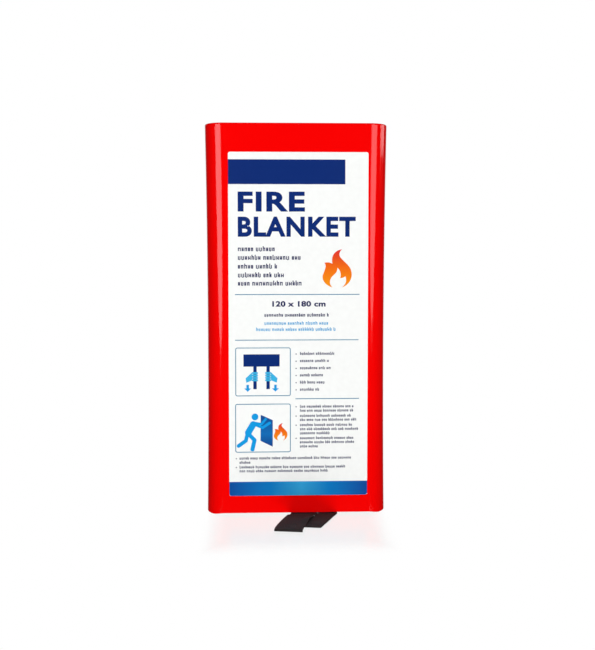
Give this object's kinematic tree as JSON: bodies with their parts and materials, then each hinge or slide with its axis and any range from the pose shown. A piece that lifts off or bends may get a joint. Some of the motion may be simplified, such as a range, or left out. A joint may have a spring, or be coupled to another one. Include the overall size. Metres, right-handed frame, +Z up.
{
  "type": "fire blanket",
  "caption": "Slim upright red hard case with rounded front corners and a printed panel, open below, holding a folded cloth blanket whose flat black pull straps lie forward from the mouth.",
  "frame": {"origin": "centre of the back plate's outer flat face, the face that lies on the wall", "axes": "+Y out of the back plate into the wall, so the label faces -Y; +Z up, with the open mouth at the bottom; +X to the right of someone facing the label"},
  "size_m": [0.14, 0.0835, 0.3],
  "materials": {
    "case_plastic": "glossy moulded red plastic with soft wide highlights",
    "label_print": "white adhesive label with a satin printed face",
    "blanket_cloth": "off-white woven glass cloth, matt with a faint sheen",
    "strap_webbing": "matt black woven webbing",
    "stitch_thread": "matt black sewing thread"
  },
  "bodies": {
    "case": {"front_shell": "case_plastic", "back_plate": "case_plastic", "front_label": "label_print"},
    "folded_blanket": {"blanket": "blanket_cloth", "left_strap_root": "strap_webbing", "right_strap_root": "strap_webbing", "left_root_stitching": "stitch_thread", "right_root_stitching": "stitch_thread"},
    "left_pull": {"left_strap": "strap_webbing", "left_end_stitching": "stitch_thread"},
    "right_pull": {"right_strap": "strap_webbing", "right_end_stitching": "stitch_thread"}
  },
  "joints": [
    {"name": "blanket_slide", "type": "slide", "parent": "case", "child": "folded_blanket", "axis": [0, 0, -1], "range_m": [0, 0.3]},
    {"name": "right_strap_swing", "type": "hinge", "parent": "folded_blanket", "child": "right_pull", "pos_m": [0, -0.047, -0.1495], "axis": [1, 0, 0], "range_deg": [-80, 90]},
    {"name": "left_strap_swing", "type": "hinge", "parent": "folded_blanket", "child": "left_pull", "pos_m": [0, -0.047, -0.1495], "axis": [1, 0, 0], "range_deg": [-80, 90]}
  ],
  "couplings": [
    {"joint": "left_strap_swing", "follows": "right_strap_swing", "ratio": 1}
  ]
}
